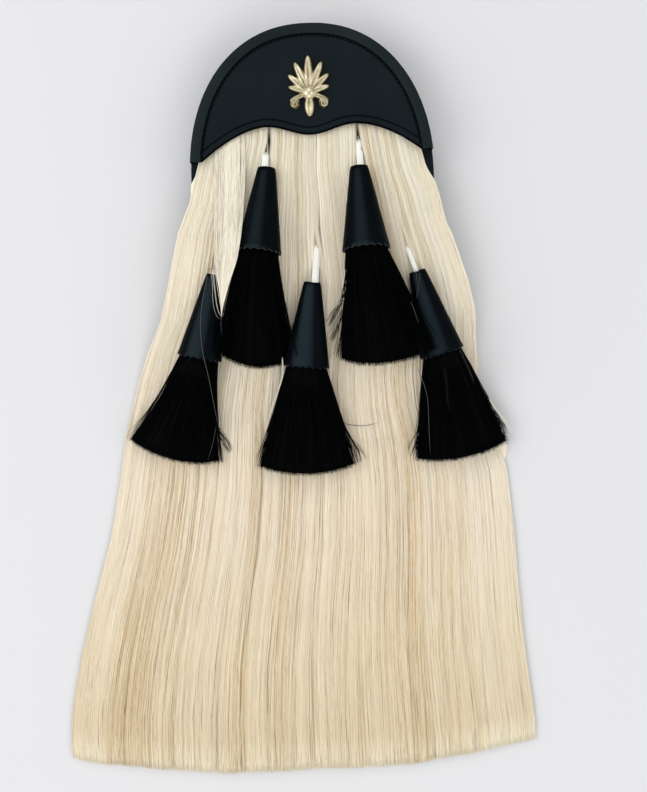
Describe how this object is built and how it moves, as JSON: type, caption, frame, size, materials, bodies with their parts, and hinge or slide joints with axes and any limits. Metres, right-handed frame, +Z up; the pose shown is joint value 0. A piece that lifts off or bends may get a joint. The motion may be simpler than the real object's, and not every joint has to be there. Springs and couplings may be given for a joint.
{
  "type": "horsehair sporran pouch",
  "caption": "Leather sporran pouch with a domed flap, raised rim and cast ornament, a long fall of white horsehair and black hair tassels in leather cones, lying on its back.",
  "frame": {"origin": "middle of the sporran's box, on the surface that it lies on", "axes": "+Z up out of the front, +Y towards the crown of the leather head, +X to the right seen from the front"},
  "size_m": [0.3644, 0.5796, 0.0622],
  "materials": {
    "head_leather": "black leather with a fine grain and a soft sheen",
    "rim_leather": "black leather, slightly lighter and smoother, with polished edges",
    "badge_metal": "pale cast brass, brightened on the high places and dull in the hollows",
    "white_hair": "combed ivory horsehair with cream and beige streaks",
    "tassel_leather": "smooth black leather with a pinked edge",
    "black_hair": "black horsehair with faint grey glints",
    "thong_leather": "white leather thong"
  },
  "bodies": {
    "root": {"back_panel": "head_leather", "strap_loop_left": "head_leather", "strap_loop_right": "head_leather", "gusset": "head_leather", "front_panel": "head_leather", "flap_panel": "head_leather", "rim_band": "rim_leather", "badge": "badge_metal", "horsehair": "white_hair", "tassel_cone_upper_left": "tassel_leather", "tassel_cone_upper_right": "tassel_leather", "tassel_cone_middle": "tassel_leather", "tassel_cone_lower_left": "tassel_leather", "tassel_cone_lower_right": "tassel_leather", "tassel_hair_upper_left": "black_hair", "tassel_hair_upper_right": "black_hair", "tassel_hair_middle": "black_hair", "tassel_hair_lower_left": "black_hair", "tassel_hair_lower_right": "black_hair", "tassel_thong_upper_left": "thong_leather", "tassel_thong_upper_right": "thong_leather", "tassel_thong_middle": "thong_leather", "tassel_thong_lower_left": "thong_leather", "tassel_thong_lower_right": "thong_leather"}
  },
  "joints": []
}
